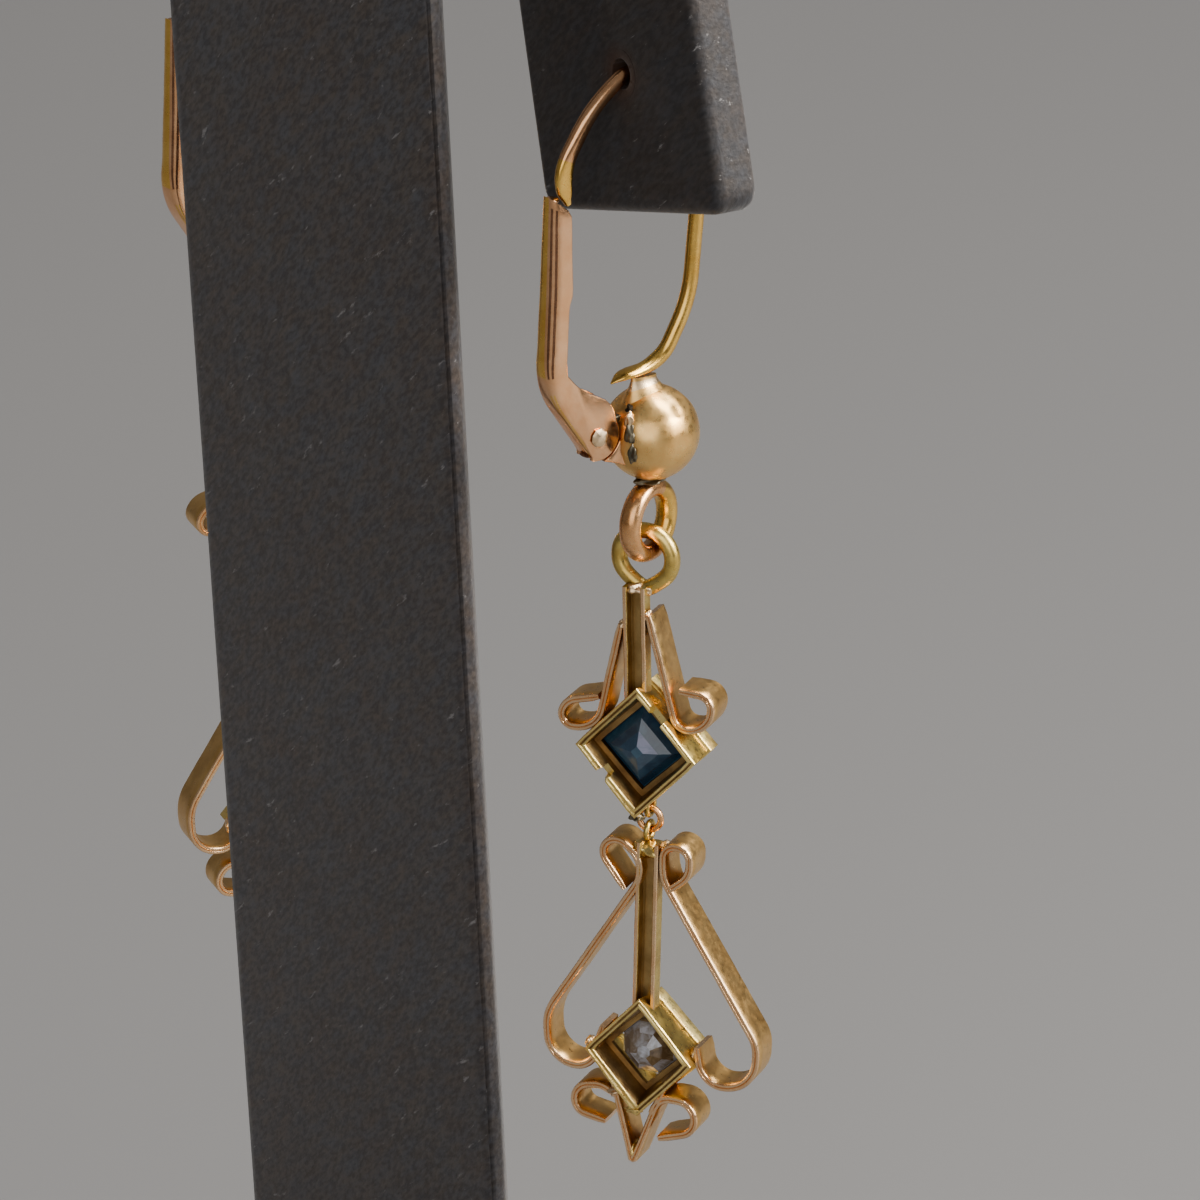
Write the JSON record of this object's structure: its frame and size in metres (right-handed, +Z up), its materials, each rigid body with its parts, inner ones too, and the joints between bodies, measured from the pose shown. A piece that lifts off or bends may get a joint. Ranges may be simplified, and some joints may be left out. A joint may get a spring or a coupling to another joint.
{
  "type": "pair of dangle earrings on a display stand",
  "caption": "Lever-back dangle earrings with scrollwork drops and square settings, hanging from a plain leaning display stand.",
  "frame": {"origin": "centre of the underside of the stand's base, on the surface that it stands on", "axes": "+Z up, the stand's front and the front of the settings' tabs face -Y, the near earring hangs on the -X side"},
  "size_m": [0.046, 0.036, 0.11],
  "materials": {
    "yellow_gold": "worn polished yellow gold",
    "rose_gold": "satin rose gold",
    "old_gold": "satin gold with darkened hollows",
    "copper": "polished copper-coloured wire",
    "blue_stone": "dark blue step-cut stone",
    "clear_stone": "clear cut stone",
    "stand_cover": "fine-grained dark grey leatherette"
  },
  "bodies": {
    "root": {"stand_base": "stand_cover", "stand_post": "stand_cover", "stand_block": "stand_cover", "stand_yoke": "stand_cover", "near_ear_hook": "yellow_gold", "near_hinge_pin": "yellow_gold", "far_ear_hook": "yellow_gold", "far_hinge_pin": "yellow_gold"},
    "near_lever": {"near_lever": "rose_gold"},
    "far_lever": {"far_lever": "rose_gold"},
    "near_upper": {"near_upper_drop": "old_gold", "near_blue_stone": "blue_stone", "near_link_ring": "copper"},
    "near_lower": {"near_lower_drop": "old_gold", "near_clear_stone": "clear_stone"},
    "far_upper": {"far_upper_drop": "old_gold", "far_blue_stone": "blue_stone"},
    "far_lower": {"far_link_ring": "copper", "far_lower_drop": "old_gold", "far_clear_stone": "clear_stone"}
  },
  "joints": [
    {"name": "near_lever_turn", "type": "hinge", "parent": "root", "child": "near_lever", "pos_m": [-0.015, 0.0031, 0.0605], "axis": [1, 0, 0], "range_deg": [-50, 0]},
    {"name": "far_lever_turn", "type": "hinge", "parent": "root", "child": "far_lever", "pos_m": [0.01478, 0.00309, 0.0605], "axis": [0.9976, 0.0698, 0], "range_deg": [-50, 0]},
    {"name": "near_drop_swing", "type": "hinge", "parent": "root", "child": "near_upper", "pos_m": [-0.015, 0, 0.0556], "axis": [-0.8387, -0.5446, 0], "range_deg": [-35, 35]},
    {"name": "near_lower_swing", "type": "hinge", "parent": "near_upper", "child": "near_lower", "pos_m": [-0.0153, -0.0002, 0.04213], "axis": [-0.8387, -0.5446, 0], "range_deg": [-35, 35]},
    {"name": "far_drop_swing", "type": "hinge", "parent": "root", "child": "far_upper", "pos_m": [0.015, 0, 0.05471], "axis": [-0.8829, 0.4695, 0], "range_deg": [-35, 35]},
    {"name": "far_lower_swing", "type": "hinge", "parent": "far_upper", "child": "far_lower", "pos_m": [0.01492, -0.00035, 0.04281], "axis": [-0.9744, 0.225, 0], "range_deg": [-35, 35]}
  ]
}
